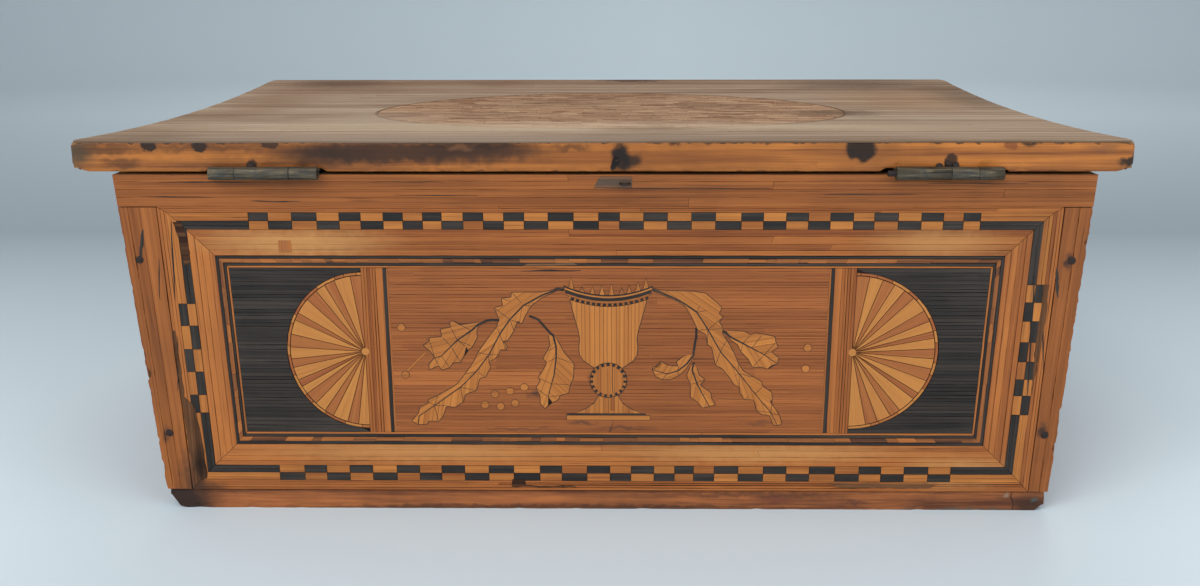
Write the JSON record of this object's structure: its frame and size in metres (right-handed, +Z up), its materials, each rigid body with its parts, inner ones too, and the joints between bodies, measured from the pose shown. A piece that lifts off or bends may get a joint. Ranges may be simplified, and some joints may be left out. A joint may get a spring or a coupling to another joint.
{
  "type": "table box",
  "caption": "Low table box with leaning sides, overhanging hinged lid and straw marquetry: checked borders, fans, an urn and oak sprays.",
  "frame": {"origin": "on the floor under the middle of the whole, lid and hinges included", "axes": "+X along the length, to the right seen from the hinged back; +Y from the hinged back to the front that opens; +Z up"},
  "size_m": [0.38, 0.279, 0.1443],
  "materials": {
    "board_pine": "planed softwood, darkened with age",
    "base_board": "stained softwood with a worn lower edge",
    "edge_straw": "split straw laid as parallel splints, rubbed satin",
    "straw": "golden straw splints, satin",
    "pale_straw": "pale straw cut to shape, satin",
    "fan_straw": "light and dark straw rays, satin",
    "ground_straw": "red-brown straw ground, satin",
    "stringing": "fine dark and light lines, satin",
    "ebonised_straw": "ebonised splints, dull",
    "lid_straw": "weathered straw, dull and grey",
    "oval_straw": "worn oval inlay, dull",
    "hinge_metal": "dull brass with dirt and verdigris",
    "hinge_iron": "worn iron pin",
    "nail_iron": "rusty cut nails and wire"
  },
  "bodies": {
    "body": {"bottom_board": "base_board", "back_wall": "board_pine", "front_wall": "board_pine", "left_wall": "board_pine", "right_wall": "board_pine", "wall_nails": "nail_iron", "bottom_nails": "nail_iron", "back_edge_rails": "edge_straw", "back_straw_bands": "straw", "back_light_checks": "pale_straw", "back_dark_checks": "ebonised_straw", "back_stringing": "stringing", "back_end_panels": "ebonised_straw", "back_fans": "fan_straw", "back_middle_panel": "ground_straw", "back_urn": "pale_straw", "back_oak_sprays": "pale_straw", "front_edge_rails": "edge_straw", "front_straw_bands": "straw", "front_light_checks": "pale_straw", "front_dark_checks": "ebonised_straw", "front_stringing": "stringing", "front_end_panels": "ebonised_straw", "front_fans": "fan_straw", "front_middle_panel": "ground_straw", "front_urn": "pale_straw", "front_oak_sprays": "pale_straw", "left_edge_rails": "edge_straw", "left_straw_bands": "straw", "left_light_checks": "pale_straw", "left_dark_checks": "ebonised_straw", "left_stringing": "stringing", "left_end_panels": "ebonised_straw", "left_fans": "fan_straw", "left_middle_panel": "ground_straw", "right_edge_rails": "edge_straw", "right_straw_bands": "straw", "right_light_checks": "pale_straw", "right_dark_checks": "ebonised_straw", "right_stringing": "stringing", "right_end_panels": "ebonised_straw", "right_fans": "fan_straw", "right_middle_panel": "ground_straw", "left_hinge_body_leaf": "hinge_metal", "right_hinge_body_leaf": "hinge_metal", "left_hinge_pin": "hinge_iron", "right_hinge_pin": "hinge_iron", "hinge_body_nails": "nail_iron", "body_wire_loop": "nail_iron"},
    "lid": {"lid_board": "board_pine", "lid_top_veneer": "lid_straw", "lid_edge_strips": "edge_straw", "lid_oval_inlay": "oval_straw", "lid_oval_line": "ebonised_straw", "left_hinge_lid_leaf": "hinge_metal", "right_hinge_lid_leaf": "hinge_metal", "hinge_lid_nails": "nail_iron", "lid_wire_stub": "nail_iron"}
  },
  "joints": [
    {"name": "lid_hinge", "type": "hinge", "parent": "body", "child": "lid", "pos_m": [0, -0.13712, 0.13285], "axis": [1, 0, 0], "range_deg": [0, 180]}
  ]
}
